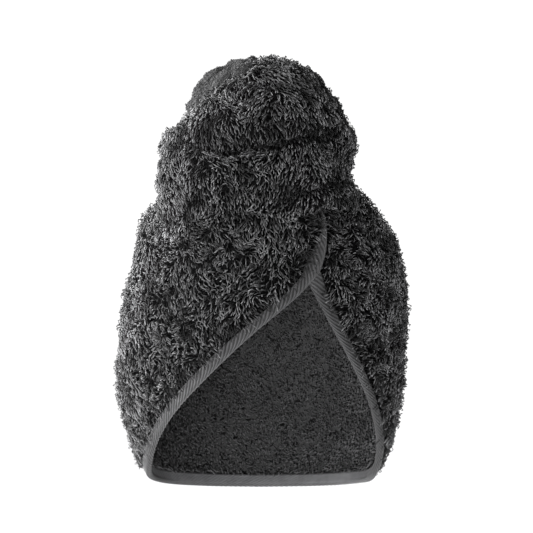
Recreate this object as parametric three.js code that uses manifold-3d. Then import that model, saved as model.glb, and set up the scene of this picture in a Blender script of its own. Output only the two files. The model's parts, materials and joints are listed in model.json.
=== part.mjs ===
// Hair towel, twisted up as it is worn: two plush terry panels sewn at the back of the head and
// crossed at the forehead, a bun of two rolls on the crown, and a twisted tail buttoned at the nape.
// Millimetres. The origin is the crown of the head hollow, +Z is up and the face opening looks along -Y.
import * as THREE from "three";
import { mergeVertices } from "three/addons/utils/BufferGeometryUtils.js";
import Module from "manifold-3d";

// Head hollow, to the inner face of the cloth, measured from the upright line through the crown
const hollowWidth = 206;
const hollowFront = 105;
const hollowBack = 118;
const hollowHeight = 223;

// Cloth
const clothThickness = 6; // plush terry, ground cloth and pile together
const hemThickness = 2.4; // the same terry pressed flat inside the binding
const plyGap = 2.2; // between the two panels where they cross
const seamGap = 0.4; // between the two panels at the back seam
const restGap = 1.2; // between the twisted tail and the panels that it lies on

// Binding tape, folded over the cloth's edge
const tapeWidth = 10;
const tapeThickness = 1.2;
const tapeGap = 0.6;
const hemTaper = 3.5; // over which the pile rises from the hem to its full height

// Twist: a bun of two rolls on the crown, and the tail that runs from it down to the nape
const twistWidth = 150;
const twistRise = 117; // top of the bun above the crown of the hollow
const creaseDepth = 11; // between the two rolls of the bun
const creaseWidth = 10;
const tailCreaseDepth = 0.17; // share of the tail's local radius
const tailCreaseWidth = 28; // degrees round the tail

// Button at the nape
const buttonDiameter = 24;
const buttonThickness = 4;
const buttonChamfer = 1;
const shankDiameter = 7;
const buttonGap = 0.3;
const tailUnderButton = 10; // plush left between the button and the panel
const buttonLevel = 0.865; // where it sits on the back seam, as a level of the hollow rows

// Resolution
const rimSteps = 40;
const panelRows = 10;
const bunRings = 26;
const bunSides = 28;
const tailSteps = 38;
const tailSides = 20;
const headTurns = 56;
const headLevels = 26;
const buttonSides = 24;
const crownCrowding = 1.3; // above 1, levels lie closer together towards the crown

const radians = THREE.MathUtils.degToRad;
const clamp = THREE.MathUtils.clamp;
const smooth = (x, low, high) => THREE.MathUtils.smoothstep(x, low, high);

// Inner face of the cloth: one row for each level down the head, as shares of the hollow's sizes
const hollowRows = [
  { down: 0, width: 0, front: 0, back: 0 },
  { down: 0.005, width: 0.29, front: 0.32, back: 0.3 },
  { down: 0.018, width: 0.6, front: 0.61, back: 0.56 },
  { down: 0.049, width: 0.78, front: 0.82, back: 0.74 },
  { down: 0.108, width: 0.87, front: 0.915, back: 0.86 },
  { down: 0.197, width: 0.93, front: 0.957, back: 0.93 },
  { down: 0.305, width: 0.97, front: 0.986, back: 0.98 },
  { down: 0.42, width: 0.995, front: 1, back: 1 },
  { down: 0.54, width: 1, front: 1, back: 1 },
  { down: 0.655, width: 0.98, front: 0.96, back: 0.98 },
  { down: 0.762, width: 0.93, front: 0.895, back: 0.94 },
  { down: 0.861, width: 0.855, front: 0.8, back: 0.88 },
  { down: 0.937, width: 0.785, front: 0.705, back: 0.82 },
  { down: 1, width: 0.73, front: 0.63, back: 0.76 },
];

// Folds and dents of the panels: where each lies, which way it runs and how far it stands out.
// azimuth and tilt are degrees, level is the share of the way down a hollow row list,
// length, breadth and rise are shares of hollowWidth.
const foldRows = [
  { azimuth: -92, level: 0.64, tilt: 20, length: 0.3, breadth: 0.13, rise: 0.02 },
  { azimuth: -95, level: 0.46, tilt: 15, length: 0.25, breadth: 0.08, rise: -0.013 },
  { azimuth: -50, level: 0.52, tilt: 55, length: 0.35, breadth: 0.07, rise: 0.013 },
  { azimuth: -30, level: 0.38, tilt: 60, length: 0.3, breadth: 0.06, rise: -0.012 },
  { azimuth: 88, level: 0.47, tilt: 10, length: 0.2, breadth: 0.12, rise: 0.024 },
  { azimuth: 90, level: 0.58, tilt: -8, length: 0.25, breadth: 0.06, rise: -0.014 },
  { azimuth: 74, level: 0.145, tilt: -85, length: 0.19, breadth: 0.15, rise: 0.075 },
  { azimuth: -80, level: 0.18, tilt: 80, length: 0.16, breadth: 0.12, rise: 0.04 },
  { azimuth: 56, level: 0.42, tilt: -62, length: 0.3, breadth: 0.055, rise: 0.014 },
  { azimuth: 72, level: 0.6, tilt: -70, length: 0.28, breadth: 0.05, rise: -0.012 },
  { azimuth: 132, level: 0.5, tilt: -60, length: 0.4, breadth: 0.07, rise: 0.016 },
  { azimuth: 150, level: 0.66, tilt: -50, length: 0.3, breadth: 0.06, rise: -0.012 },
  { azimuth: -130, level: 0.5, tilt: 60, length: 0.4, breadth: 0.07, rise: 0.016 },
  { azimuth: -150, level: 0.68, tilt: 48, length: 0.3, breadth: 0.06, rise: -0.012 },
];

// Cut edge of each panel, from the nape to the crown, in degrees and levels of the hollow rows
const leftRimRows = [
  { azimuth: -180, level: 0.99 },
  { azimuth: -150, level: 0.98 },
  { azimuth: -120, level: 0.952 },
  { azimuth: -95, level: 0.913 },
  { azimuth: -78, level: 0.874 },
  { azimuth: -65, level: 0.828 },
  { azimuth: -52, level: 0.77 },
  { azimuth: -39, level: 0.705 },
  { azimuth: -25, level: 0.638 },
  { azimuth: -13, level: 0.58 },
  { azimuth: 0, level: 0.515 },
  { azimuth: 10.5, level: 0.466 },
  { azimuth: 19, level: 0.418 },
  { azimuth: 24, level: 0.37 },
  { azimuth: 26.5, level: 0.3 },
  { azimuth: 28, level: 0.21 },
  { azimuth: 29, level: 0.1 },
];
const rightRimRows = [
  { azimuth: 180, level: 0.99 },
  { azimuth: 150, level: 0.98 },
  { azimuth: 120, level: 0.952 },
  { azimuth: 91, level: 0.907 },
  { azimuth: 76, level: 0.838 },
  { azimuth: 61, level: 0.757 },
  { azimuth: 49.5, level: 0.674 },
  { azimuth: 39.8, level: 0.602 },
  { azimuth: 28.7, level: 0.51 },
  { azimuth: 22, level: 0.434 },
  { azimuth: 15.5, level: 0.36 },
  { azimuth: 11.5, level: 0.28 },
  { azimuth: 9.5, level: 0.19 },
  { azimuth: 9, level: 0.1 },
];
const crownLevel = 0.1; // the panels' top edge, gathered under the twist
const leftCrownEnd = -10; // degrees, where the left panel's last row meets its top edge
const rightCrownEnd = 38;

// The left panel lifts clear of the right one between these azimuths
const liftStart = -48;
const liftEnd = -2;
const liftPast = 44; // where the hollow under the bun has come down from the left panel again
const liftHold = 2; // degrees that it stays up past the left panel's edge

// Bun: a row for each level, from inside the head's hollow to the top of the upper roll. rise is a
// share of twistRise, left and right are shares of half the twistWidth, front is a share of
// hollowFront and back of hollowBack.
const bunRows = [
  { rise: -0.25, left: 0.9, right: 0.8, front: 0.86, back: 0.2 },
  { rise: -0.04, left: 1.06, right: 0.95, front: 1.0, back: 0.3 },
  { rise: 0.1, left: 1.07, right: 0.96, front: 1.03, back: 0.34 },
  { rise: 0.23, left: 1.05, right: 0.94, front: 1.03, back: 0.34 },
  { rise: 0.36, left: 1.03, right: 0.94, front: 1.02, back: 0.33 },
  { rise: 0.47, left: 1.02, right: 0.92, front: 0.98, back: 0.32 },
  { rise: 0.55, left: 0.92, right: 0.88, front: 0.93, back: 0.3 },
  { rise: 0.64, left: 0.69, right: 0.83, front: 0.86, back: 0.27 },
  { rise: 0.74, left: 0.56, right: 0.76, front: 0.77, back: 0.2 },
  { rise: 0.84, left: 0.44, right: 0.61, front: 0.65, back: 0.09 },
  { rise: 0.92, left: 0.32, right: 0.43, front: 0.52, back: -0.04 },
  { rise: 0.975, left: 0.17, right: 0.26, front: 0.39, back: -0.16 },
  { rise: 1, left: 0.0, right: 0.09, front: 0.3, back: -0.24 },
];

// Crease that winds up round the bun between its rolls: turn in degrees, counted from the right
// side over the front, rise a share of twistRise, and depth a share of creaseDepth
const creaseRows = [
  { turn: -225, rise: 0.0, depth: 0 },
  { turn: -180, rise: 0.04, depth: 0.5 },
  { turn: -135, rise: 0.08, depth: 0.6 },
  { turn: -90, rise: 0.12, depth: 0.6 },
  { turn: -45, rise: 0.15, depth: 0.5 },
  { turn: 0, rise: 0.22, depth: 0.35 },
  { turn: 45, rise: 0.35, depth: 0.7 },
  { turn: 90, rise: 0.34, depth: 0.9 },
  { turn: 135, rise: 0.42, depth: 1 },
  { turn: 180, rise: 0.56, depth: 1 },
  { turn: 225, rise: 0.62, depth: 0.8 },
  { turn: 270, rise: 0.67, depth: 0.5 },
  { turn: 315, rise: 0.72, depth: 0 },
];

// Tail: a row for each station from inside the bun to the nape. reach is a share of hollowBack
// behind the crown, rise a share of twistRise above the crown and of hollowHeight below it; lean,
// width and depth are shares of half the twistWidth; turn is the twist in degrees.
const tailRows = [
  { lean: 0.0, reach: -0.42, rise: 0.5, width: 0.42, depth: 0.4, turn: -40 },
  { lean: -0.03, reach: -0.22, rise: 0.54, width: 0.72, depth: 0.64, turn: -5 },
  { lean: -0.04, reach: 0.08, rise: 0.54, width: 0.77, depth: 0.68, turn: 45 },
  { lean: -0.02, reach: 0.41, rise: 0.42, width: 0.71, depth: 0.62, turn: 130 },
  { lean: 0.0, reach: 0.69, rise: 0.19, width: 0.63, depth: 0.54, turn: 225 },
  { lean: 0.0, reach: 0.92, rise: -0.04, width: 0.56, depth: 0.47, turn: 325 },
  { lean: 0.0, reach: 1.07, rise: -0.2, width: 0.5, depth: 0.41, turn: 430 },
  { lean: 0.0, reach: 1.15, rise: -0.37, width: 0.44, depth: 0.35, turn: 540 },
  { lean: 0.0, reach: 1.17, rise: -0.53, width: 0.38, depth: 0.3, turn: 655 },
  { lean: 0.0, reach: 1.14, rise: -0.68, width: 0.32, depth: 0.25, turn: 775 },
  { lean: 0.0, reach: 1.05, rise: -0.81, width: 0.26, depth: 0.19, turn: 890 },
  { lean: 0.0, reach: 0.97, rise: -0.92, width: 0.17, depth: 0.12, turn: 980 },
];

const clothMaterial = new THREE.MeshStandardMaterial({ color: 0x333334, roughness: 1 });
const tapeMaterial = new THREE.MeshStandardMaterial({ color: 0x4c4c4e, roughness: 0.85 });
const buttonMaterial = new THREE.MeshStandardMaterial({ color: 0x222223, roughness: 0.45 });

// Catmull-Rom through the rows of a table, column by column; share runs from 0 to 1
function tableAt(rows, share) {
  const last = rows.length - 1;
  const at = clamp(share, 0, 1) * last;
  const k = Math.min(Math.floor(at), last - 1);
  const f = at - k;
  const value = {};
  for (const column of Object.keys(rows[0])) {
    const b = rows[k][column];
    const c = rows[k + 1][column];
    const a = k > 0 ? rows[k - 1][column] : 2 * b - c;
    const d = k + 2 <= last ? rows[k + 2][column] : 2 * c - b;
    value[column] = b + 0.5 * f * (c - a + f * (2 * a - 5 * b + 4 * c - d + f * (3 * (b - c) + d - a)));
  }
  return value;
}

// How far the folds push the whole cloth out at a place
const meridianShare = 1.25; // length of the cloth from crown to hem, as a share of hollowHeight
function foldHeight(azimuth, level) {
  let height = 0;
  for (const fold of foldRows) {
    const across = radians(azimuth - fold.azimuth) * (hollowWidth / 2);
    const down = (level - fold.level) * hollowHeight * meridianShare;
    const tilt = radians(fold.tilt);
    const along = (across * Math.cos(tilt) - down * Math.sin(tilt)) / (fold.length * hollowWidth);
    const beside = (across * Math.sin(tilt) + down * Math.cos(tilt)) / (fold.breadth * hollowWidth);
    height += fold.rise * hollowWidth * Math.exp(-along * along - beside * beside);
  }
  return height;
}

function hollowPoint(azimuth, level) {
  const row = tableAt(hollowRows, level);
  const angle = radians(azimuth);
  const reach = Math.cos(angle) > 0 ? -row.front * hollowFront : -row.back * hollowBack;
  return new THREE.Vector3(
    row.width * (hollowWidth / 2) * Math.sin(angle),
    reach * Math.cos(angle),
    -row.down * hollowHeight,
  );
}

const poleLevel = 0.002; // closer to the crown than this the cloth is taken as level

function hollowSlopes(azimuth, level) {
  const turn = 0.5;
  const drop = 0.004;
  const low = clamp(level - drop, poleLevel / 2, 1);
  const high = clamp(level + drop, poleLevel / 2, 1);
  const round = hollowPoint(azimuth + turn, level)
    .sub(hollowPoint(azimuth - turn, level))
    .divideScalar(2 * turn);
  const down = hollowPoint(azimuth, high)
    .sub(hollowPoint(azimuth, low))
    .divideScalar(high - low);
  return { round, down };
}

// A place on the cloth: azimuth and level, and the height above the hollow's inner face
function clothPoint(azimuth, level, height) {
  if (level < poleLevel) return new THREE.Vector3(0, 0, height);
  const { round, down } = hollowSlopes(azimuth, level);
  const normal = down.clone().cross(round).normalize();
  return hollowPoint(azimuth, level).addScaledVector(normal, height + foldHeight(azimuth, level));
}

// Where a panel starts above the inner face: the left one rides over the right one at the forehead
const panels = {
  left: {
    rimRows: leftRimRows,
    crownEnd: leftCrownEnd,
    side: -1,
    base: (azimuth) => (clothThickness + plyGap) * smooth(azimuth, liftStart, liftEnd),
  },
  right: { rimRows: rightRimRows, crownEnd: rightCrownEnd, side: 1, base: () => 0 },
};

// The rim of a panel as places evenly spaced along its real length
function rimPlaces(panel) {
  const fine = 400;
  const places = [];
  const lengths = [0];
  for (let i = 0; i <= fine; i++) {
    places.push(tableAt(panel.rimRows, i / fine));
    if (i > 0) {
      const step = hollowPoint(places[i].azimuth, places[i].level).distanceTo(
        hollowPoint(places[i - 1].azimuth, places[i - 1].level),
      );
      lengths.push(lengths[i - 1] + step);
    }
  }
  const even = [];
  for (let i = 0, k = 0; i <= rimSteps; i++) {
    const wanted = (lengths[fine] * i) / rimSteps;
    while (k < fine - 1 && lengths[k + 1] < wanted) k++;
    const f = (wanted - lengths[k]) / (lengths[k + 1] - lengths[k]);
    even.push({
      azimuth: THREE.MathUtils.lerp(places[k].azimuth, places[k + 1].azimuth, f),
      level: THREE.MathUtils.lerp(places[k].level, places[k + 1].level, f),
    });
  }
  return even;
}

// The place at a distance in from the rim, square to it, on the cloth
function insetPlace(panel, rim, i, distance) {
  const before = rim[Math.max(i - 1, 0)];
  const after = rim[Math.min(i + 1, rim.length - 1)];
  const { round, down } = hollowSlopes(rim[i].azimuth, rim[i].level);
  const along = round
    .clone()
    .multiplyScalar(after.azimuth - before.azimuth)
    .addScaledVector(down, after.level - before.level)
    .normalize();
  const normal = down.clone().cross(round).normalize();
  const inward = normal.cross(along).multiplyScalar(-panel.side);
  const rr = round.dot(round);
  const rd = round.dot(down);
  const dd = down.dot(down);
  const r = inward.dot(round);
  const d = inward.dot(down);
  const scale = distance / (rr * dd - rd * rd);
  return {
    azimuth: rim[i].azimuth + (r * dd - d * rd) * scale,
    level: rim[i].level + (d * rr - r * rd) * scale,
  };
}

// A closed mesh from points and triangles, turned so that its faces point out
function closedGeometry(points, triangles) {
  let volume = 0;
  for (const [a, b, c] of triangles) volume += points[a].dot(points[b].clone().cross(points[c]));
  const index = triangles.flatMap(([a, b, c]) => (volume > 0 ? [a, b, c] : [a, c, b]));
  const geometry = new THREE.BufferGeometry();
  const flat = points.flatMap((p) => [p.x, p.y, p.z]);
  geometry.setAttribute("position", new THREE.Float32BufferAttribute(flat, 3));
  geometry.setIndex(index);
  return geometry;
}

// A wall between two grids of the same size, closed round its edges
function wallGeometry(columns, rows, pointAt) {
  const points = [];
  for (const face of ["inner", "outer"])
    for (let i = 0; i <= columns; i++)
      for (let j = 0; j <= rows; j++) points.push(pointAt(i, j, face));
  const size = (columns + 1) * (rows + 1);
  const at = (i, j) => i * (rows + 1) + j;
  const triangles = [];
  const quad = (a, b, c, d) => triangles.push([a, b, c], [a, c, d]);
  for (let i = 0; i < columns; i++)
    for (let j = 0; j < rows; j++) {
      quad(at(i, j), at(i + 1, j), at(i + 1, j + 1), at(i, j + 1));
      quad(size + at(i, j), size + at(i, j + 1), size + at(i + 1, j + 1), size + at(i + 1, j));
    }
  const edge = [];
  for (let i = 0; i < columns; i++) edge.push(at(i, 0));
  for (let j = 0; j < rows; j++) edge.push(at(columns, j));
  for (let i = columns; i > 0; i--) edge.push(at(i, rows));
  for (let j = rows; j > 0; j--) edge.push(at(0, j));
  edge.forEach((a, n) => {
    const b = edge[(n + 1) % edge.length];
    quad(b, a, size + a, size + b);
  });
  return closedGeometry(points, triangles);
}

// A closed mesh through rings of points that all have the section's order
function loftGeometry(rings, section) {
  const sides = section.length;
  const points = rings.flat();
  const triangles = [];
  for (let i = 0; i + 1 < rings.length; i++)
    for (let k = 0; k < sides; k++) {
      const a = i * sides + k;
      const b = i * sides + ((k + 1) % sides);
      const [c, d] = [b + sides, a + sides];
      triangles.push([a, b, c], [a, c, d]);
    }
  const last = (rings.length - 1) * sides;
  for (const [a, b, c] of THREE.ShapeUtils.triangulateShape(section, [])) {
    triangles.push([a, c, b], [last + a, last + b, last + c]);
  }
  return closedGeometry(points, triangles);
}

function circleSection(sides) {
  return Array.from({ length: sides }, (_, k) => {
    const angle = (2 * Math.PI * k) / sides;
    return new THREE.Vector2(Math.cos(angle), Math.sin(angle));
  });
}

const wasm = await Module();
wasm.setup();

function solidFrom(geometry) {
  const bare = new THREE.BufferGeometry();
  bare.setAttribute("position", geometry.getAttribute("position"));
  bare.setIndex(geometry.index);
  const merged = mergeVertices(bare, 1e-4);
  return new wasm.Manifold(
    new wasm.Mesh({
      numProp: 3,
      vertProperties: new Float32Array(merged.attributes.position.array),
      triVerts: new Uint32Array(merged.index.array),
    }),
  );
}

function geometryFrom(solid) {
  const mesh = solid.getMesh();
  const geometry = new THREE.BufferGeometry();
  geometry.setAttribute("position", new THREE.BufferAttribute(mesh.vertProperties, mesh.numProp));
  geometry.setIndex(new THREE.BufferAttribute(mesh.triVerts, 1));
  return geometry;
}

// Panels: the rim rows stay square to the edge, the rest run up to the crown
const hemWidth = tapeWidth - tapeThickness - tapeGap;

function panelGeometry(panel) {
  const rim = rimPlaces(panel);
  const seamTurn = THREE.MathUtils.radToDeg(seamGap / 2 / hollowBack);
  const edgeRows = [0, hemWidth + tapeGap, hemWidth + tapeGap + hemTaper];
  const rows = edgeRows.length + panelRows - 1;
  const placeAt = (i, j) => {
    if (j < edgeRows.length) return insetPlace(panel, rim, i, edgeRows[j]);
    const from = insetPlace(panel, rim, i, edgeRows[edgeRows.length - 1]);
    const share = (j - edgeRows.length + 1) / panelRows;
    const eased = 1 - Math.pow(1 - share, crownCrowding);
    const crownAzimuth = THREE.MathUtils.lerp(180 * panel.side, panel.crownEnd, i / rimSteps);
    return {
      azimuth: THREE.MathUtils.lerp(from.azimuth, crownAzimuth, eased),
      level: THREE.MathUtils.lerp(from.level, crownLevel, eased),
    };
  };
  return wallGeometry(rimSteps, rows, (i, j, face) => {
    const place = placeAt(i, j);
    const azimuth = i === 0 ? panel.side * (180 - seamTurn) : place.azimuth;
    const thickness = j < edgeRows.length - 1 ? hemThickness : clothThickness;
    const middle = panel.base(azimuth) + clothThickness / 2;
    const height = middle + ((face === "outer" ? 1 : -1) * thickness) / 2;
    return clothPoint(azimuth, place.level, height);
  });
}

// Binding: a folded tape round the whole opening, from under the twist down to the nape and up again
function bindingGeometry() {
  const slot = hemThickness / 2 + tapeGap;
  const outside = slot + tapeThickness;
  const round = outside / 2;
  const nose = -(tapeGap + tapeThickness);
  const section = [
    { inward: hemWidth, out: slot },
    { inward: hemWidth, out: outside },
    { inward: nose + round, out: outside },
    { inward: nose, out: outside - round },
    { inward: nose, out: round - outside },
    { inward: nose + round, out: -outside },
    { inward: hemWidth, out: -outside },
    { inward: hemWidth, out: -slot },
    { inward: -tapeGap, out: -slot },
    { inward: -tapeGap, out: slot },
  ];
  const ringsOf = (panel) => {
    const rim = rimPlaces(panel);
    return rim.map((_, i) =>
      section.map(({ inward, out }) => {
        const place = insetPlace(panel, rim, i, inward);
        const azimuth = i === 0 ? panel.side * 180 : place.azimuth;
        return clothPoint(azimuth, place.level, panel.base(azimuth) + clothThickness / 2 + out);
      }),
    );
  };
  const rings = [...ringsOf(panels.left).reverse(), ...ringsOf(panels.right).slice(1)];
  return loftGeometry(
    rings,
    section.map(({ inward, out }) => new THREE.Vector2(inward, out)),
  );
}

// The space that the head and the panels take, which the bun and the tail lie on
function wrappedHeadGeometry() {
  const heightAt = (azimuth) => {
    const fallen = smooth(azimuth, leftRimRows.at(-1).azimuth + liftHold, liftPast);
    const lifted = panels.left.base(azimuth) * (1 - fallen);
    return clothThickness + restGap + lifted;
  };
  const rings = [];
  for (let j = 1; j <= headLevels; j++) {
    const level = Math.pow(j / headLevels, crownCrowding);
    const ring = [];
    for (let i = 0; i < headTurns; i++) {
      const azimuth = (360 * i) / headTurns - 180;
      ring.push(clothPoint(azimuth, level, heightAt(azimuth)));
    }
    rings.push(ring);
  }
  const section = rings[headLevels - 1].map((p) => new THREE.Vector2(p.x, p.y));
  return loftGeometry(rings, section);
}

// How deep the winding crease is at a place on the bun
function creaseAt(angle, height) {
  const first = creaseRows[0].turn;
  const last = creaseRows.at(-1).turn;
  let depth = 0;
  for (let turn = angle - 360; turn <= last; turn += 360) {
    if (turn < first) continue;
    const row = tableAt(creaseRows, (turn - first) / (last - first));
    const away = (height - row.rise * twistRise) / creaseWidth;
    depth += row.depth * creaseDepth * Math.exp(-away * away);
  }
  return depth;
}

function bunGeometry() {
  const rings = [];
  for (let i = 0; i <= bunRings; i++) {
    const row = tableAt(bunRows, i / bunRings);
    const height = row.rise * twistRise;
    const right = (row.right * twistWidth) / 2;
    const left = (-row.left * twistWidth) / 2;
    const front = -row.front * hollowFront;
    const back = row.back * hollowBack;
    const halfWidth = (right - left) / 2;
    const halfDepth = (back - front) / 2;
    const ring = [];
    for (let k = 0; k < bunSides; k++) {
      const angle = (360 * k) / bunSides;
      const depth = Math.min(creaseAt(angle, height), halfWidth / 2, halfDepth / 2);
      ring.push(
        new THREE.Vector3(
          (right + left) / 2 + (halfWidth - depth) * Math.cos(radians(angle)),
          (front + back) / 2 - (halfDepth - depth) * Math.sin(radians(angle)),
          height,
        ),
      );
    }
    rings.push(ring);
  }
  return loftGeometry(rings, circleSection(bunSides));
}

function tailStation(share) {
  const row = tableAt(tailRows, share);
  const half = twistWidth / 2;
  return {
    centre: new THREE.Vector3(
      row.lean * half,
      row.reach * hollowBack,
      row.rise * (row.rise < 0 ? hollowHeight : twistRise),
    ),
    width: row.width * half,
    depth: row.depth * half,
    turn: row.turn,
  };
}

function tailGeometry() {
  const glance = 0.01;
  const rings = [];
  for (let i = 0; i <= tailSteps; i++) {
    const share = i / tailSteps;
    const station = tailStation(share);
    const ahead = tailStation(Math.min(share + glance, 1)).centre;
    const behind = tailStation(Math.max(share - glance, 0)).centre;
    const along = ahead.sub(behind).normalize();
    const across = new THREE.Vector3(1, 0, 0).addScaledVector(along, -along.x).normalize();
    const out = across.clone().cross(along);
    const ring = [];
    for (let k = 0; k < tailSides; k++) {
      const angle = (360 * k) / tailSides;
      const fromCrease = Math.abs(THREE.MathUtils.euclideanModulo(angle - station.turn + 90, 180) - 90);
      const size = 1 - tailCreaseDepth * Math.exp(-Math.pow(fromCrease / tailCreaseWidth, 2));
      ring.push(
        station.centre
          .clone()
          .addScaledVector(across, station.width * size * Math.cos(radians(angle)))
          .addScaledVector(out, station.depth * size * Math.sin(radians(angle))),
      );
    }
    rings.push(ring);
  }
  return loftGeometry(rings, circleSection(tailSides));
}

// Button: a plain disc and shank, sewn on at the nape and holding the tail's end down
const buttonSeat = clothPoint(180, buttonLevel, clothThickness);
const buttonAxis = clothPoint(180, buttonLevel, clothThickness + 1).sub(buttonSeat).normalize();

function buttonGeometry(clearance, topLift) {
  const face = tailUnderButton + buttonThickness;
  const profile = [
    [0, buttonGap - clearance],
    [shankDiameter / 2 + clearance, buttonGap - clearance],
    [shankDiameter / 2 + clearance, tailUnderButton - clearance],
    [buttonDiameter / 2 - buttonChamfer + clearance, tailUnderButton - clearance],
    [buttonDiameter / 2 + clearance, tailUnderButton + buttonChamfer - clearance],
    [buttonDiameter / 2 + clearance, face - buttonChamfer + topLift],
    [buttonDiameter / 2 - buttonChamfer + clearance, face + topLift],
    [0, face + topLift],
  ];
  const geometry = new THREE.LatheGeometry(
    profile.map(([r, y]) => new THREE.Vector2(r, y)),
    buttonSides,
  );
  geometry.deleteAttribute("normal");
  geometry.deleteAttribute("uv");
  const upright = new THREE.Quaternion().setFromUnitVectors(new THREE.Vector3(0, 1, 0), buttonAxis);
  geometry.applyQuaternion(upright).translate(buttonSeat.x, buttonSeat.y, buttonSeat.z);
  return geometry;
}

const twist = solidFrom(bunGeometry())
  .add(solidFrom(tailGeometry()))
  .subtract(solidFrom(wrappedHeadGeometry()))
  .subtract(solidFrom(buttonGeometry(buttonGap, tailUnderButton)));

function sewnPiece(name, geometry, material) {
  const mesh = new THREE.Mesh(geometry, material);
  mesh.name = name;
  return mesh;
}

const towel = new THREE.Group();
towel.add(
  sewnPiece("left_panel", panelGeometry(panels.left), clothMaterial),
  sewnPiece("right_panel", panelGeometry(panels.right), clothMaterial),
  sewnPiece("edge_binding", bindingGeometry(), tapeMaterial),
  sewnPiece("twisted_tail", geometryFrom(twist), clothMaterial),
  sewnPiece("tail_button", buttonGeometry(0, 0), buttonMaterial),
);

export default towel;
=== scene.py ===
import heapq
import json
import math

import bpy
import numpy as np
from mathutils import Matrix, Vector, noise
from mathutils.bvhtree import BVHTree

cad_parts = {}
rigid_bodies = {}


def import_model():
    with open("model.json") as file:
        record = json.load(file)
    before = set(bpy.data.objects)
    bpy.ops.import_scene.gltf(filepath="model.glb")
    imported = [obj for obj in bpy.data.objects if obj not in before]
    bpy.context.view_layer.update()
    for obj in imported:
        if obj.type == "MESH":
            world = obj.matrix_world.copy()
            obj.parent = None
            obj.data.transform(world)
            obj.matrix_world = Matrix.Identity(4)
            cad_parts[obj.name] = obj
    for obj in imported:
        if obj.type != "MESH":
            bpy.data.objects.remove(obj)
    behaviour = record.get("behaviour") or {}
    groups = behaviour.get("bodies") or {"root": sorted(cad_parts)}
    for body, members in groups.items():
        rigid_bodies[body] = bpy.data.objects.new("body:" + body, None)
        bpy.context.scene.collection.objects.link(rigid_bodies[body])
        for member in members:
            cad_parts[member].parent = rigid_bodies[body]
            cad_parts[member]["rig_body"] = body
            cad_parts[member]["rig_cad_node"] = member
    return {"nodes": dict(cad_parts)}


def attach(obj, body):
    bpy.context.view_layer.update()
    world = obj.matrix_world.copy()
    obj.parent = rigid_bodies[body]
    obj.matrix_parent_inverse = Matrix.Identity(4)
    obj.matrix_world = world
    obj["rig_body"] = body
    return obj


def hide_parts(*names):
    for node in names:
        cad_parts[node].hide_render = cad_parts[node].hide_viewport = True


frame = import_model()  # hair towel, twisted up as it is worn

mm = 0.001
up = np.array([0.0, 0.0, 1.0])
noise.seed_set(20)  # unseeded, the noise would be another one each run
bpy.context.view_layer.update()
print("loaded", sorted(frame["nodes"]))


# helpers on objects and meshes

merging = {  # of a CAD node's loose triangles
    "gap": 0.01 * mm,
    "faceTurn": math.radians(50),
    "shapeTurn": math.radians(60),
}


def activate(obj):
    bpy.ops.object.select_all(action="DESELECT")
    obj.select_set(True)
    bpy.context.view_layer.objects.active = obj


def applyModifier(obj, kind, **settings):
    activate(obj)
    bpy.ops.object.modifier_add(type=kind)
    modifier = obj.modifiers[-1]
    for name, value in settings.items():
        setattr(modifier, name, value)
    bpy.ops.object.modifier_apply(modifier=modifier.name)


def mergedCopy(node, name):
    activate(frame["nodes"][node])
    bpy.ops.object.duplicate()
    obj = bpy.context.active_object
    obj.name = name
    obj.data.name = name
    obj.parent = None
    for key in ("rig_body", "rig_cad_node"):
        del obj[key]
    obj.data.materials.clear()
    bpy.ops.object.mode_set(mode="EDIT")
    bpy.ops.mesh.select_all(action="SELECT")
    bpy.ops.mesh.remove_doubles(threshold=merging["gap"])
    bpy.ops.mesh.tris_convert_to_quads(
        face_threshold=merging["faceTurn"], shape_threshold=merging["shapeTurn"],
    )
    bpy.ops.object.mode_set(mode="OBJECT")
    return obj


def pointsOf(mesh):
    points = np.empty(len(mesh.vertices) * 3)
    mesh.vertices.foreach_get("co", points)
    return points.reshape(-1, 3)


def normalsOf(mesh):
    normals = np.empty(len(mesh.vertices) * 3, np.float32)
    mesh.vertex_normals.foreach_get("vector", normals)
    return normals.reshape(-1, 3).astype(float)


def trianglesOf(mesh):
    mesh.calc_loop_triangles()
    triangles = np.empty(len(mesh.loop_triangles) * 3, np.int32)
    mesh.loop_triangles.foreach_get("vertices", triangles)
    return triangles.reshape(-1, 3)


def unit(vectors):
    return vectors / np.maximum(np.linalg.norm(vectors, axis=-1, keepdims=True), 1e-12)


def dots(a, b):
    return (a * b).sum(-1, keepdims=True)


def treeOf(mesh):
    return BVHTree.FromPolygons([Vector(p) for p in pointsOf(mesh)], trianglesOf(mesh).tolist())


def smoothStep(x, low, high):
    share = np.clip((x - low) / (high - low), 0, 1)
    return share * share * (3 - 2 * share)


def noiseAt(places, scale, shift):  # the shift picks another part of the same noise
    offset = Vector((shift, shift * 0.7, shift * 1.3))
    return np.array([noise.noise_vector(Vector(p) * scale + offset) for p in places])


def meshObject(name, points, faces, attributes=()):  # faces all have the same number of corners
    mesh = bpy.data.meshes.new(name)
    sides = faces.shape[1]
    mesh.vertices.add(len(points))
    mesh.vertices.foreach_set("co", points.astype(np.float32).ravel())
    mesh.loops.add(faces.size)
    mesh.loops.foreach_set("vertex_index", faces.astype(np.int32).ravel())
    mesh.polygons.add(len(faces))
    mesh.polygons.foreach_set("loop_start", np.arange(0, faces.size, sides, dtype=np.int32))
    mesh.update(calc_edges=True)
    for key, values in attributes:
        layer = mesh.attributes.new(key, "FLOAT", "POINT")
        layer.data.foreach_set("value", values.astype(np.float32))
    mesh.shade_smooth()
    obj = bpy.data.objects.new(name, mesh)
    bpy.context.scene.collection.objects.link(obj)
    return obj


def finishPiece(obj, material, nodes=()):
    obj.data.materials.clear()
    obj.data.materials.append(material)
    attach(obj, "root")
    if nodes:
        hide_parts(*nodes)
    return obj


# helpers on materials

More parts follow.
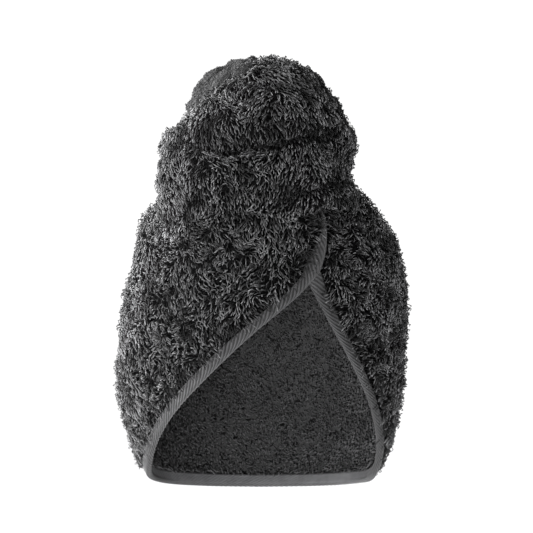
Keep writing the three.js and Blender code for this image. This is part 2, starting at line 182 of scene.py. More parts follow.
def newMaterial(name, roughness, specular, sheen=0.0):
    material = bpy.data.materials.new(name)
    material.use_nodes = True
    tree = material.node_tree
    shader = tree.nodes["Principled BSDF"]
    shader.inputs["Roughness"].default_value = roughness
    shader.inputs["Specular IOR Level"].default_value = specular
    shader.inputs["Sheen Weight"].default_value = sheen
    shader.inputs["Sheen Roughness"].default_value = 0.5
    return material, tree, shader


def addNode(tree, kind, **settings):
    node = tree.nodes.new(kind)
    for name, value in settings.items():
        setattr(node, name, value)
    return node


def noiseNode(tree, scale, detail=2.0, distortion=0.0):
    place = addNode(tree, "ShaderNodeTexCoord")
    texture = addNode(tree, "ShaderNodeTexNoise")
    texture.inputs["Scale"].default_value = scale
    texture.inputs["Detail"].default_value = detail
    texture.inputs["Distortion"].default_value = distortion
    tree.links.new(place.outputs["Object"], texture.inputs["Vector"])
    return texture.outputs["Fac"]


def rampNode(tree, source, stops):
    ramp = addNode(tree, "ShaderNodeValToRGB")
    elements = ramp.color_ramp.elements
    while len(elements) < len(stops):
        elements.new(0.5)
    for element, (place, grey) in zip(elements, stops):
        element.position = place
        element.color = (grey, grey, grey * 1.01, 1)
    tree.links.new(source, ramp.inputs["Fac"])
    return ramp.outputs["Color"]


def multiplied(tree, a, b):
    mix = addNode(tree, "ShaderNodeMix", data_type="RGBA", blend_type="MULTIPLY")
    mix.inputs["Factor"].default_value = 1.0
    tree.links.new(a, mix.inputs["A"])
    tree.links.new(b, mix.inputs["B"])
    return mix.outputs["Result"]


def bumped(tree, shader, height, distance):
    bump = addNode(tree, "ShaderNodeBump")
    bump.inputs["Distance"].default_value = distance
    bump.inputs["Strength"].default_value = 1.0
    tree.links.new(height, bump.inputs["Height"])
    tree.links.new(bump.outputs["Normal"], shader.inputs["Normal"])


# materials: tones are linear greys, scales are in cells for each metre

yarn = {
    "roughness": 0.8,
    "specular": 0.08,
    "sheen": 0.02,
    "middle": (0.45, 1.6),  # place along the loop, and its tone against the root's, whose near black is painted shade deep in the pile
    "tipFrom": 0.95,
    "fibreScale": 2600.0,
    "fibreDepth": 0.15 * mm,
}
ground = {
    "frontShadeTone": 0.004,  # near black in front, as painted shade under the dense pile; behind, the cloth shows paler between the thinner pile
    "rearTone": 0.04,
    "grainScale": 420.0,
    "grainDetail": 3.0,
    "grainDepth": 0.8 * mm,
    "flecks": [(0.35, 0.15), (0.65, 1.0)],
    "partingScale": 330.0,
    "partingDetail": 2.0,
}
twill = {
    "roughness": 0.75,
    "specular": 0.12,
    "sheen": 0.02,
    # tone from groove to rib crest: the dark grooves are painted shade beside the ribs' relief
    "ribs": [(0.0, 0.007), (1.0, 0.07)],
    "fibreScale": 1900.0,
    "fibreDepth": 0.12 * mm,
    "worn": [(0.3, 0.7), (0.75, 1.0)],
    # soft lighter and darker patches: painted shade of puckers in the tape
    "puckerScale": 150.0,
    "puckerShade": [(0.38, 0.84), (0.58, 1.0)],
}
moulding = {
    "roughness": 0.65,
    "specular": 0.2,
    "speckleScale": 900.0,
    "speckles": [(0.3, 0.014), (0.8, 0.022)],
    "speckleDepth": 0.03 * mm,
}


# loops darken from the tip down to a near-black root: painted shade deep in the pile, not the yarn's own
# colour
def yarnMaterial(name, root, tip, spread):
    material, tree, shader = newMaterial(name, yarn["roughness"], yarn["specular"], yarn["sheen"])
    rise = addNode(tree, "ShaderNodeAttribute", attribute_name="rise")
    tone = addNode(tree, "ShaderNodeAttribute", attribute_name="tone")
    middle, lighter = yarn["middle"]
    along = [(0.0, root), (middle, root * lighter), (yarn["tipFrom"], tip)]
    shade = rampNode(tree, rise.outputs["Fac"], along)
    varied = rampNode(tree, tone.outputs["Fac"], [(0.0, 1 - spread), (1.0, 1.0)])
    tree.links.new(multiplied(tree, shade, varied), shader.inputs["Base Color"])
    bumped(tree, shader, noiseNode(tree, yarn["fibreScale"]), yarn["fibreDepth"])
    return material


def groundMaterial():  # under the long pile, painted near black in front as the pile's shade
    material, tree, shader = newMaterial("terry ground cloth", roughness=1.0, specular=0.0)
    rear = addNode(tree, "ShaderNodeAttribute", attribute_name="rear")
    shade = rampNode(tree, rear.outputs["Fac"], [(0.0, ground["frontShadeTone"]), (1.0, ground["rearTone"])])
    grain = noiseNode(tree, ground["grainScale"], ground["grainDetail"], distortion=1.0)
    flecks = rampNode(tree, grain, ground["flecks"])
    tree.links.new(multiplied(tree, shade, flecks), shader.inputs["Base Color"])
    bumped(tree, shader, grain, ground["grainDepth"])
    return material


def shearedMaterial(name, dark, light):
    material, tree, shader = newMaterial(name, roughness=1.0, specular=0.0)
    grain = noiseNode(tree, ground["grainScale"], ground["grainDetail"])
    tree.links.new(rampNode(tree, grain, [(0.35, dark), (0.7, light)]), shader.inputs["Base Color"])
    bumped(tree, shader, grain, ground["grainDepth"])
    return material


def fleckedMaterial(name, dark, light):  # close short pile with dark partings
    material, tree, shader = newMaterial(name, roughness=1.0, specular=0.0)
    grain = noiseNode(tree, ground["partingScale"], ground["partingDetail"], distortion=1.6)
    tree.links.new(rampNode(tree, grain, [(0.4, dark), (0.5, light)]), shader.inputs["Base Color"])
    bumped(tree, shader, grain, ground["grainDepth"])
    return material


def tapeMaterial():
    material, tree, shader = newMaterial("twill tape", twill["roughness"], twill["specular"], twill["sheen"])
    rise = addNode(tree, "ShaderNodeAttribute", attribute_name="rise")
    fibre = noiseNode(tree, twill["fibreScale"])
    rib = rampNode(tree, rise.outputs["Fac"], twill["ribs"])
    worn = rampNode(tree, fibre, twill["worn"])
    # painted shade of puckers
    puckerShade = rampNode(tree, noiseNode(tree, twill["puckerScale"], detail=1.0), twill["puckerShade"])
    tone = multiplied(tree, rib, multiplied(tree, worn, puckerShade))
    tree.links.new(tone, shader.inputs["Base Color"])
    bumped(tree, shader, fibre, twill["fibreDepth"])
    return material


def buttonMaterial():
    material, tree, shader = newMaterial("moulded button", moulding["roughness"], moulding["specular"])
    speckle = noiseNode(tree, moulding["speckleScale"])
    tree.links.new(rampNode(tree, speckle, moulding["speckles"]), shader.inputs["Base Color"])
    bumped(tree, shader, speckle, moulding["speckleDepth"])
    return material


longYarn = yarnMaterial("long terry loops", root=0.002, tip=0.125, spread=0.92)
shearedYarn = yarnMaterial("sheared terry", root=0.014, tip=0.028, spread=0.7)
innerYarn = yarnMaterial("short terry loops", root=0.006, tip=0.041, spread=0.75)
groundCloth = groundMaterial()
innerCloth = fleckedMaterial("inner ground cloth", dark=0.002, light=0.024)
shearedCloth = shearedMaterial("sheared ground cloth", dark=0.011, light=0.024)
print("materials made")


# cloth skins: the ground cloth that the pile stands on, a little inside the solids

skin = {
    "levels": 1,  # subdivision of the solids' own faces
    "outerDepth": 2.4 * mm,  # room for the long loops
    "innerDepth": 1.4 * mm,  # room for the short ones
    "leastWall": 1.8 * mm,
    "wall": 6 * mm,  # where no other side is found
    "wallReach": 8 * mm,
    "justInside": 0.05 * mm,
    "shallowest": 1 * mm,  # a flap's hollows go no deeper, and its pile lies lower instead
    "creaseShare": 0.4,  # of the creases' depth, on the left flap
    "seamWidth": 0.6 * mm,  # the two panels' edges at the back lie within this of the middle
    "seamTurn": 0.3,
    "touchReach": 6 * mm,
    "touchEase": (0.6 * mm, 5 * mm),
    "rearTurn": (-0.3, 0.15),
    "twistDepth": 2.6 * mm,
    "twistPressed": 1 * mm,  # outwards, where the twist lies against a flap
    "twistVoxel": 3 * mm,
    "twistSmoothing": 0.5,
    "twistRounds": 4,
}
headLine = np.array([0.0, 5 * mm, -110 * mm])  # middle of the hood's hollow
solidTrees = {name: treeOf(frame["nodes"][name].data) for name in frame["nodes"]}

# where the left flap flows up into the lower roll, both skins swell until the pile closes over the join
flow = {"reach": 15 * mm, "swell": 4.2 * mm, "fromLeft": -66 * mm, "toRight": 44 * mm, "ease": 14 * mm}

# the cloth's sheared reverse shows at the back of the bun, beyond this line across the front view
reverse = {
    "leftLine": [
        (-76, 66), (-55, 72), (-46, 76), (-38, 83), (-31, 90), (-24, 95), (-11, 97), (-3, 105), (-1, 120),
    ],
    "behind": 19 * mm,
    "above": 93 * mm,
    "ease": 2.5 * mm,
    "lift": 2.6 * mm,  # the sheared pile is shorter, so its ground cloth stands higher
    "groove": 4.5 * mm,
    "grooveAt": 1 * mm,  # past the line
    "grooveWidth": 2.6 * mm,
    "fold": 1.3 * mm,
    "foldPitch": 12 * mm,
    "foldStart": 11 * mm,
    "foldWander": 2.5,
    "lump": 2 * mm,
    "lumpSize": 8 * mm,
}

# soft fullness and hollows of the stuffed folds: place in the front view, reach and rise in mm
lumps = [
    {"at": (20, 118), "reach": 15, "rise": -3.8},
    {"at": (-12, 118), "reach": 12, "rise": -2},
    {"at": (4, 120), "reach": 9, "rise": -2.5},
    {"at": (-80, 38), "reach": 16, "rise": -2.5},
    {"at": (-100, -34), "reach": 22, "rise": -4.5},
    {"at": (58, 92), "reach": 16, "rise": -4.5},
    {"at": (73, 70), "reach": 14, "rise": -2.5},
    {"at": (74, 25), "reach": 10, "rise": -3.5},
    {"at": (89, 3), "reach": 14, "rise": -4},
    {"at": (-104, -104), "reach": 16, "rise": -3.5},
    {"at": (-67, 67), "reach": 7, "rise": -5},
    {"at": (104, -36), "reach": 18, "rise": 2.5},
]

# creases in front, as lines across the front view, which die out round the sides
creaseFade = (0, 30 * mm)
creases = [
    {"line": [(-26, 37), (-12, 39), (0, 41), (12, 45), (22, 49), (50, 54)], "depth": 8, "width": 3.2},
    {"line": [(-62, 45), (-44, 41), (-28, 37)], "depth": 2, "width": 4},
    {"line": [(-58, 53), (-36, 50), (-14, 51), (2, 53)], "depth": -2.6, "width": 5},  # fullness over it
    {"line": [(-46, 80), (-45, 90), (-38, 99), (-31, 105), (-20, 108)], "depth": 2, "width": 1.8},
    {"line": [(14, 4), (28, 9), (46, 15), (62, 18)], "depth": 3.5, "width": 4},
    {"line": [(24, 112), (37, 100), (48, 87), (56, 74), (60, 62)], "depth": 2.6, "width": 2.4},
]


def facesHead(points, normals):
    inward = unit((headLine - points) * (1, 1, 0.35))
    return dots(normals, inward)[:, 0] > 0


def distancesTo(points, tree, limit):
    found = (tree.find_nearest(Vector(p), limit)[3] for p in points)
    return np.array([limit if far is None else far for far in found])


def besideLine(points, line):  # how far a place is from a line across the front view, above it or not
    flat = points[:, [0, 2]]
    beside = np.zeros(len(points))
    least = np.full(len(points), np.inf)
    line = np.array(line) * mm
    for start, end in zip(line[:-1], line[1:]):
        way = end - start
        share = np.clip(((flat - start) @ way) / (way @ way), 0, 1)
        gap = flat - (start + share[:, None] * way)
        far = np.linalg.norm(gap, axis=1)
        side = np.sign(way[0] * gap[:, 1] - way[1] * gap[:, 0])
        beside = np.where(far < least, side * far, beside)
        least = np.minimum(least, far)
    return beside


def pastLine(points):
    behind = np.minimum(points[:, 1] - reverse["behind"], points[:, 2] - reverse["above"])
    return np.maximum(besideLine(points, reverse["leftLine"]), behind)


def creaseDepth(points):
    depth = np.zeros(len(points))
    for crease in creases:
        beside = besideLine(points, crease["line"])
        depth += crease["depth"] * mm * np.exp(-((beside / (crease["width"] * mm)) ** 2))
    return depth * (1 - smoothStep(points[:, 1], *creaseFade))


def lumpRise(points):
    rise = np.zeros(len(points))
    for lump in lumps:
        far = np.linalg.norm(points[:, [0, 2]] - np.array(lump["at"]) * mm, axis=1)
        rise += lump["rise"] * mm * np.exp(-((far / (lump["reach"] * mm)) ** 2))
    return rise


def centresOf(mesh):
    centres = np.empty(len(mesh.polygons) * 3)
    mesh.polygons.foreach_get("center", centres)
    return centres.reshape(-1, 3)


def moved(obj, shifts):
    obj.data.vertices.foreach_set("co", (pointsOf(obj.data) + shifts).astype(np.float32).ravel())
    obj.data.update()


def flowSwell(points, other):
    near = 1 - smoothStep(distancesTo(points, solidTrees[other], flow["reach"]), 0, flow["reach"])
    across = smoothStep(points[:, 0], flow["fromLeft"] - flow["ease"], flow["fromLeft"])
    across *= 1 - smoothStep(points[:, 0], flow["toRight"] - flow["ease"], flow["toRight"])
    return near * across * (points[:, 1] < 0) * flow["swell"]


def touching(points, others):  # 1 where another solid lies against this one, outside the flow
    near = np.zeros(len(points))
    for other in others:
        far = distancesTo(points, solidTrees[other], skin["touchReach"])
        near = np.maximum(near, 1 - smoothStep(far, *skin["touchEase"]))
        near *= 1 - flowSwell(points, other) / flow["swell"]
    return near


def markRear(mesh):  # the ground cloth is paler behind, where the pile is thinner, and painted near black in front as shade under the dense pile
    layer = mesh.attributes.new("rear", "FLOAT", "POINT")
    rear = smoothStep(normalsOf(mesh)[:, 1], *skin["rearTurn"])
    layer.data.foreach_set("value", rear.astype(np.float32))


def onSeam(points):
    return (np.abs(points[:, 0]) < skin["seamWidth"]) & (points[:, 1] > 0)


def creased(mesh):  # the seam's corners stay square when the faces are subdivided
    sewn = onSeam(pointsOf(mesh))
    crease = mesh.attributes.new("crease_edge", "FLOAT", "EDGE")
    for edge, value in zip(mesh.edges, crease.data):
        value.value = float(sewn[edge.vertices[0]] and sewn[edge.vertices[1]])


def sharpened(mesh):  # the seam's walls shade apart from the cloth's two faces
    sewn = onSeam(pointsOf(mesh))
    for edge in mesh.edges:
        edge.use_edge_sharp = bool(sewn[edge.vertices[0]] and sewn[edge.vertices[1]])


def panelSkin(node, name):
    obj = mergedCopy(node, name)
    creased(obj.data)
    applyModifier(obj, "SUBSURF", levels=skin["levels"], render_levels=skin["levels"])
    points, normals = pointsOf(obj.data), normalsOf(obj.data)
    tree = treeOf(obj.data)
    thick = np.empty(len(points))
    for i, (p, n) in enumerate(zip(points, normals)):
        hit = tree.ray_cast(Vector(p - n * skin["justInside"]), Vector(-n), skin["wallReach"])
        thick[i] = hit[3] if hit[3] is not None else skin["wall"]
    spare = np.clip(thick - skin["leastWall"], 0, None)
    inner = facesHead(points, normals)
    room = skin["outerDepth"] + skin["innerDepth"]
    share = np.where(inner, skin["innerDepth"], skin["outerDepth"]) / room
    depth = np.minimum(spare, room) * share
    depth *= 1 - touching(points, ["twisted_tail"]) * ~inner
    depth -= np.maximum(lumpRise(points), -skin["shallowest"]) * ~inner
    if node == "left_panel":
        depth -= flowSwell(points, "twisted_tail") * ~inner
        depth += creaseDepth(points) * skin["creaseShare"] * ~inner
    shifts = -normals * depth[:, None]
    sewn = onSeam(points)  # the two panels meet at the back, edge to edge
    flat = normals[sewn] * (0, 1, 1)
    turned = np.linalg.norm(flat, axis=1, keepdims=True) > skin["seamTurn"]
    shifts[sewn] = -unit(flat) * turned * depth[sewn][:, None]
    shifts[sewn, 0] = -points[sewn, 0]
    moved(obj, shifts)
    markRear(obj.data)
    obj.data.shade_smooth()
    sharpened(obj.data)
    ways = np.empty(len(obj.data.polygons) * 3)
    obj.data.polygons.foreach_get("normal", ways)
    inside = facesHead(centresOf(obj.data), ways.reshape(-1, 3))
    return obj, inside.astype(np.int32)


def reverseFold(points):  # how far the sheared side dips
    uneven = noiseAt(points, 1 / reverse["lumpSize"], 31.0)
    turn = 2 * math.pi * (pastLine(points) - reverse["foldStart"]) / reverse["foldPitch"]
    turn += reverse["foldWander"] * uneven[:, 1]
    return reverse["fold"] * np.cos(turn) + reverse["lump"] * uneven[:, 0]


def twistSkin(node, name):
    obj = mergedCopy(node, name)
    applyModifier(obj, "REMESH", mode="VOXEL", voxel_size=skin["twistVoxel"])
    applyModifier(obj, "SMOOTH", factor=skin["twistSmoothing"], iterations=skin["twistRounds"])
    points, normals = pointsOf(obj.data), normalsOf(obj.data)
    near = touching(points, ["left_panel", "right_panel"])
    depth = skin["twistDepth"] * (1 - near) - skin["twistPressed"] * near
    depth -= flowSwell(points, "left_panel")
    past = pastLine(points)
    sheared = smoothStep(past, 0, reverse["ease"])
    depth -= sheared * reverse["lift"]
    depth += reverse["groove"] * np.exp(-(((past - reverse["grooveAt"]) / reverse["grooveWidth"]) ** 2))
    depth += sheared * reverseFold(points)
    depth -= lumpRise(points)
    depth += creaseDepth(points)
    moved(obj, -normals * depth[:, None])
    markRear(obj.data)
    obj.data.shade_smooth()
    return obj, (pastLine(centresOf(obj.data)) > 0).astype(np.int32)


leftCloth, leftInside = panelSkin("left_panel", "left_cloth")
rightCloth, rightInside = panelSkin("right_panel", "right_cloth")
twistCloth, twistReverse = twistSkin("twisted_tail", "twist_cloth")
print("cloth skins", [len(o.data.polygons) for o in (leftCloth, rightCloth, twistCloth)])


# binding tape: a folded twill tape whose path and section are measured on the binding's solid

tape = {
    "ribPitch": 2.05 * mm,
    "ribTurn": math.radians(29),  # of the twill ribs from the tape's length
    "ribRise": 0.5 * mm,
    "ribShape": 1.2,
    "ribSunk": 0.6,  # share of a rib that lies below the tape's mean face
    "ribSteps": 6,
    "innerRib": 0.4,  # ribs are flatter on the inner leg and along its edges
    "edgeRib": 0.3,
    "plainEnds": 6 * mm,
    "stationStep": 4 * mm,
    "window": 9 * mm,
    "blur": 0.6,  # of the window
    "reach": 12 * mm,
    "clothReach": 22 * mm,
    "pathEase": 2,  # stations
    "spanEase": 3,
    "legSteps": 5,
    "foldSteps": 8,
    "outerLeg": 0.6,  # of the solid's width, so that the pile comes close to the fold
    "topLeg": 0.04,  # at the end under the bun
    "sideLeg": 0.32,  # down the right flap
    "innerLeg": 0.9,
    "topHeights": (-44 * mm, -14 * mm),
    "sidePlaces": (45 * mm, 88 * mm),
    "foldDepth": 0.8,  # of half the thickness
    "thickness": 0.8,
    "insideLayer": 0.7,
    "joinGap": 0.002 * mm,
    # painted light: at the nape, where light from below falls on it, the tape is lighter on its inner leg and
    # the fold's first rows; elsewhere the inner leg is painted darker
    "nape": (20 * mm, 60 * mm),
    "paleRows": 2.5,
    "innerTone": 0.6,
    "outerTone": 0.47,
    # where the tape is in shade: how much, which way across, from where to where
    "shades": [(0.16, 1, 24 * mm, 46 * mm), (0.14, 1, 72 * mm, 85 * mm), (0.3, -1, 66 * mm, 86 * mm)],
}


def lengthsAlong(mesh, start):  # shortest ways over the edges, from one vertex to the others
    points = pointsOf(mesh)
    ways = [[] for _ in points]
    for edge in mesh.edges:
        a, b = edge.vertices
        size = float(np.linalg.norm(points[a] - points[b]))
        ways[a].append((b, size))
        ways[b].append((a, size))
    far = np.full(len(points), np.inf)
    far[start] = 0
    queue = [(0.0, start)]
    while queue:
        size, a = heapq.heappop(queue)
        if size > far[a]:
            continue
        for b, step in ways[a]:
            if size + step < far[b]:
                far[b] = size + step
                heapq.heappush(queue, (far[b], b))
    return far


def eased(values, width):  # gaussian smoothing along the first axis
    reach = np.arange(-3 * width, 3 * width + 1)
    weights = np.exp(-((reach / width) ** 2))
    padded = np.concatenate([values[:1].repeat(3 * width, 0), values, values[-1:].repeat(3 * width, 0)])
    sums = [(weights[:, None] * padded[i:i + len(reach)]).sum(0) for i in range(len(values))]
    return np.stack(sums) / weights.sum()


def tapeStations():
    guide = mergedCopy("edge_binding", "tape_guide")
    points = pointsOf(guide.data)
    rough = lengthsAlong(guide.data, 0)
    start = int(np.argmax(np.where(np.isfinite(rough), rough, -1)))
    far = lengthsAlong(guide.data, start)
    bpy.data.objects.remove(guide)
    cloth = np.concatenate([pointsOf(leftCloth.data), pointsOf(rightCloth.data)])
    steps = np.arange(0, far.max(), tape["stationStep"])
    centres, spans = [], []
    for at in steps:
        weight = np.exp(-(((far - at) / (tape["window"] * tape["blur"])) ** 2))
        centres.append((points * weight[:, None]).sum(0) / weight.sum())
    centres = eased(np.array(centres), tape["pathEase"])
    along = unit(np.gradient(centres, axis=0))
    inward = np.empty_like(centres)
    for i, (centre, ahead) in enumerate(zip(centres, along)):
        near = points[np.abs((points - centre) @ ahead) < tape["window"]]
        near = near[np.linalg.norm(near - centre, axis=1) < tape["reach"]] - centre
        flat = near - np.outer(near @ ahead, ahead)
        _, _, axes = np.linalg.svd(flat - flat.mean(0), full_matrices=False)
        across = axes[0]
        fabric = cloth[np.linalg.norm(cloth - centre, axis=1) < tape["clothReach"]] - centre
        if (fabric.mean(0) if len(fabric) else across) @ across < 0:
            across = -across
        inward[i] = across
    inward = unit(eased(inward, tape["pathEase"]))
    inward = unit(inward - along * dots(inward, along))
    outward = np.cross(along, inward)
    hand = 1
    if (outward * (centres - headLine)).sum() < 0:
        outward, hand = -outward, -1
    for i, centre in enumerate(centres):
        near = points[np.linalg.norm(points - centre, axis=1) < tape["reach"]] - centre
        a, o = near @ inward[i], near @ outward[i]
        spans.append((a.min(), a.max(), o.min(), o.max()))
    return centres, inward, outward, eased(np.array(spans), tape["spanEase"]), hand


def bindingTape():
    centres, inward, outward, spans, hand = tapeStations()
    lengths = np.concatenate([[0], np.cumsum(np.linalg.norm(np.diff(centres, axis=0), axis=1))])
    low, high, under, over = spans.T
    half = (over - under) / 2 * tape["thickness"]
    middle = (over + under) / 2
    nose = low + half * tape["foldDepth"]
    legs, turns = tape["legSteps"], tape["foldSteps"]
    atTop = smoothStep(centres[:, 2], *tape["topHeights"])
    atSide = smoothStep(centres[:, 0], *tape["sidePlaces"])
    inner, outer = tape["innerLeg"], tape["outerLeg"]
    outer = outer + (tape["topLeg"] - outer) * atTop
    outer = outer + (tape["sideLeg"] - outer) * atSide
    # each row of the section: place in from the fold, place out from the middle, way out of the cloth
    leg = high - nose
    section = [(nose + leg * inner * (1 - k / legs), middle - half, (0, -1)) for k in range(legs)]
    for k in range(turns + 1):
        turn = math.radians(180 * k / turns - 90)
        back, out = math.cos(turn), math.sin(turn)
        section.append((nose - half * tape["foldDepth"] * back, middle + half * out, (-back, out)))
    section += [(nose + leg * outer * k / legs, middle + half, (0, 1)) for k in range(1, legs + 1)]
    steps = [np.hypot(b[0] - a[0], b[1] - a[1]).mean() for a, b in zip(section[:-1], section[1:])]
    across = np.concatenate([[0], np.cumsum(steps)])
    # columns of the mesh follow the ribs
    lean = hand * (across - across.mean()) / math.tan(tape["ribTurn"])
    # a thin inside layer closes the folded tape round the hem
    thin = half * tape["insideLayer"]
    section.append((nose + leg * outer, middle + thin, None))
    section.append((nose, middle + thin, None))
    section.append((nose, middle - thin, None))
    section.append((nose + leg * inner, middle - thin, None))
    lean = np.concatenate([lean, np.linspace(lean[-1], lean[0], 4)])
    step = tape["ribPitch"] / math.sin(tape["ribTurn"]) / tape["ribSteps"]
    columns = np.arange(-np.abs(lean).max() - step, lengths[-1] + np.abs(lean).max() + 2 * step, step)
    rib = (0.5 + 0.5 * np.cos(2 * math.pi * np.arange(len(columns)) / tape["ribSteps"])) ** tape["ribShape"]
    rings = []
    for k, (a, o, way) in enumerate(section):
        at = np.clip(columns + lean[k], 0, lengths[-1])
        tables = (centres, inward, outward)
        spot, inn, out = [np.stack([np.interp(at, lengths, part) for part in table.T], 1) for table in tables]
        inn, out = unit(inn), unit(out)
        place = spot + inn * np.interp(at, lengths, a)[:, None] + out * np.interp(at, lengths, o)[:, None]
        if way is not None:
            inEnds = smoothStep(np.minimum(at, lengths[-1] - at), 0, tape["plainEnds"])
            free = tape["edgeRib"] if k in (0, len(across) - 1) else tape["innerRib"] if k < legs else 1.0
            lift = (rib - tape["ribSunk"]) * inEnds * free * tape["ribRise"]
            place += (inn * way[0] + out * way[1]) * lift[:, None]
        litAtNape = smoothStep(spot[:, 1], *tape["nape"])
        if k < legs:  # the inner leg shows the twill's smoother side, and is painted lighter at the nape
            pale = 1
            shaded = tape["innerTone"] + (1 - tape["innerTone"]) * litAtNape
        else:
            # the fold's first rows are painted lighter at the nape
            pale = np.clip((legs + tape["paleRows"] - k) / tape["paleRows"], 0, 1) * litAtNape
            shaded = tape["outerTone"]
            for less, sign, start, end in tape["shades"]:
                shaded = shaded - less * smoothStep(sign * spot[:, 0], start, end)
            shaded += (1 - shaded) * pale
        # the tape's tone: painted shade in the rib grooves, times the painted light and shade along the tape
        rings.append((place, (pale + (1 - pale) * rib) * shaded))
    points = np.stack([ring[0] for ring in rings], 1)
    rise = np.stack([ring[1] for ring in rings], 1)
    steps, sides = points.shape[:2]
    index = np.arange(steps * sides).reshape(steps, sides)
    nextSide = np.roll(index, -1, axis=1)
    quads = np.stack([index[:-1], nextSide[:-1], nextSide[1:], index[1:]], -1).reshape(-1, 4)
    obj = meshObject("binding_tape", points.reshape(-1, 3), quads, [("rise", rise.ravel())])
    activate(obj)
    bpy.ops.object.mode_set(mode="EDIT")
    bpy.ops.mesh.select_all(action="SELECT")
    bpy.ops.mesh.remove_doubles(threshold=tape["joinGap"])
    bpy.ops.mesh.fill_holes(sides=0)
    bpy.ops.mesh.normals_make_consistent(inside=False)
    bpy.ops.object.mode_set(mode="OBJECT")
    return finishPiece(obj, tapeMaterial(), ["edge_binding"])


binding = bindingTape()
tapeTree = treeOf(binding.data)
print("binding tape", len(binding.data.polygons), "faces")


# pile: every loop is a curved strand of yarn that rises from the ground cloth and lies over

strands = {
    # each ring: height above the ground cloth, reach along the lay, sidewise curl, half width
    "long": {
        "rings": [(0.7, 0.08, 0.1, 0.8), (1.0, 0.48, 0.95, 1.0), (0.9, 0.9, 0.6, 0.9)],
        "tip": (0.78, 1.02, 0.35),
    },
    "plain": {
        "rings": [(0.8, 0.2, 0.4, 0.95), (0.95, 0.85, 0.7, 1.0)],
        "tip": (0.8, 1.02, 0.3),
    },
    "short": {
        "rings": [(0.7, 0.3, 0.0, 1.0)],
        "tip": (1.0, 1.0, 0.0),
    },
}
strandCorners = (90, 210, 330)  # degrees round each ring
tipRise = 0.2  # how far the tip is past the last ring, in rings, for its tone, dark at the root as painted shade


def strandMesh(name, form, places, normals, lay, height, reach, curl, width, tone):
    side = np.cross(normals, lay)
    shape = strands[form]
    count = len(places)
    height, reach, curl = height[:, None], reach[:, None], curl[:, None]

    def at(rise, along, bend):
        return places + normals * height * rise + lay * reach * along + side * curl * bend

    line = [places] + [at(*ring[:3]) for ring in shape["rings"]] + [at(*shape["tip"])]
    corners = [line[0]]
    rises = [np.zeros(count)]
    for k, ring in enumerate(shape["rings"], 1):
        along = unit(line[k + 1] - line[k - 1])
        across = unit(side - along * dots(side, along))
        other = np.cross(along, across)
        for turn in strandCorners:
            angle = math.radians(turn)
            radius = width[:, None] * ring[3]
            corners.append(line[k] + radius * (math.cos(angle) * across + math.sin(angle) * other))
            rises.append(np.full(count, k / (len(shape["rings"]) + tipRise)))
    corners.append(line[-1])
    rises.append(np.ones(count))
    faces = []
    last = len(corners) - 1
    for k in range(3):
        after = (k + 1) % 3
        faces.append((0, 1 + after, 1 + k))
        for ring in range(len(shape["rings"]) - 1):
            low, high = 1 + 3 * ring, 4 + 3 * ring
            faces.append((low + k, low + after, high + after))
            faces.append((low + k, high + after, high + k))
        faces.append((last - 3 + k, last - 3 + after, last))
    points = np.stack(corners, 1).reshape(-1, 3)
    starts = np.arange(count)[:, None, None] * len(corners)
    triangles = (np.array(faces)[None] + starts).reshape(-1, 3)
    rise = np.stack(rises, 1).ravel()
    tones = np.repeat(tone, len(corners))
    return meshObject(name, points, triangles, [("rise", rise), ("tone", tones)])


spacing = {
    "front": 2.0 * mm,
    "back": 2.75 * mm,
    "inner": 2.65 * mm,
    "innerFront": 4.2 * mm,
    "sheared": 1.9 * mm,
    "tries": 5,  # for each cell
    "seam": (1 * mm, 4 * mm),  # within this of the back seam the pile doesn't lean sideways
}
random = np.random.default_rng(20)
piles = {"left": [], "right": [], "twist": []}


# one place in each small cell of space that the surface crosses
def spreadOver(mesh, step, keep):
    points, normals, triangles = pointsOf(mesh), normalsOf(mesh), trianglesOf(mesh)
    a, b, c = points[triangles[:, 0]], points[triangles[:, 1]], points[triangles[:, 2]]
    area = np.linalg.norm(np.cross(b - a, c - a), axis=1) / 2
    tries = int(area.sum() / step**2 * spacing["tries"])
    chosen = random.choice(len(triangles), tries, p=area / area.sum())
    u, v = random.random((2, tries, 1))
    flip = u + v > 1
    u, v = np.where(flip, 1 - u, u), np.where(flip, 1 - v, v)
    t = triangles[chosen]
    places = a[chosen] * (1 - u - v) + b[chosen] * u + c[chosen] * v
    leans = normals[t[:, 0]] * (1 - u - v) + normals[t[:, 1]] * u + normals[t[:, 2]] * v
    atSeam = (1 - smoothStep(np.abs(places[:, 0]), *spacing["seam"])) * (places[:, 1] > 0)
    leans[:, 0] *= 1 - atSeam
    leans = unit(leans)
    cells = np.floor(places / step).astype(np.int64)
    _, first = np.unique(cells, axis=0, return_index=True)
    first.sort()
    first = first[keep(places[first], leans[first])]
    return places[first], leans[first]


def clearOf(places, normals, trees, reach):  # nothing of the other solids within reach, straight out
    free = np.ones(len(places), bool)
    for i, (p, n) in enumerate(zip(places, normals)):
        start, way = Vector(p), Vector(n)
        free[i] = all(tree.ray_cast(start, way, reach)[0] is None for tree in trees)
    return free


def farFrom(places, tree, distance):
    return np.array([tree.find_nearest(Vector(p), distance)[0] is None for p in places])


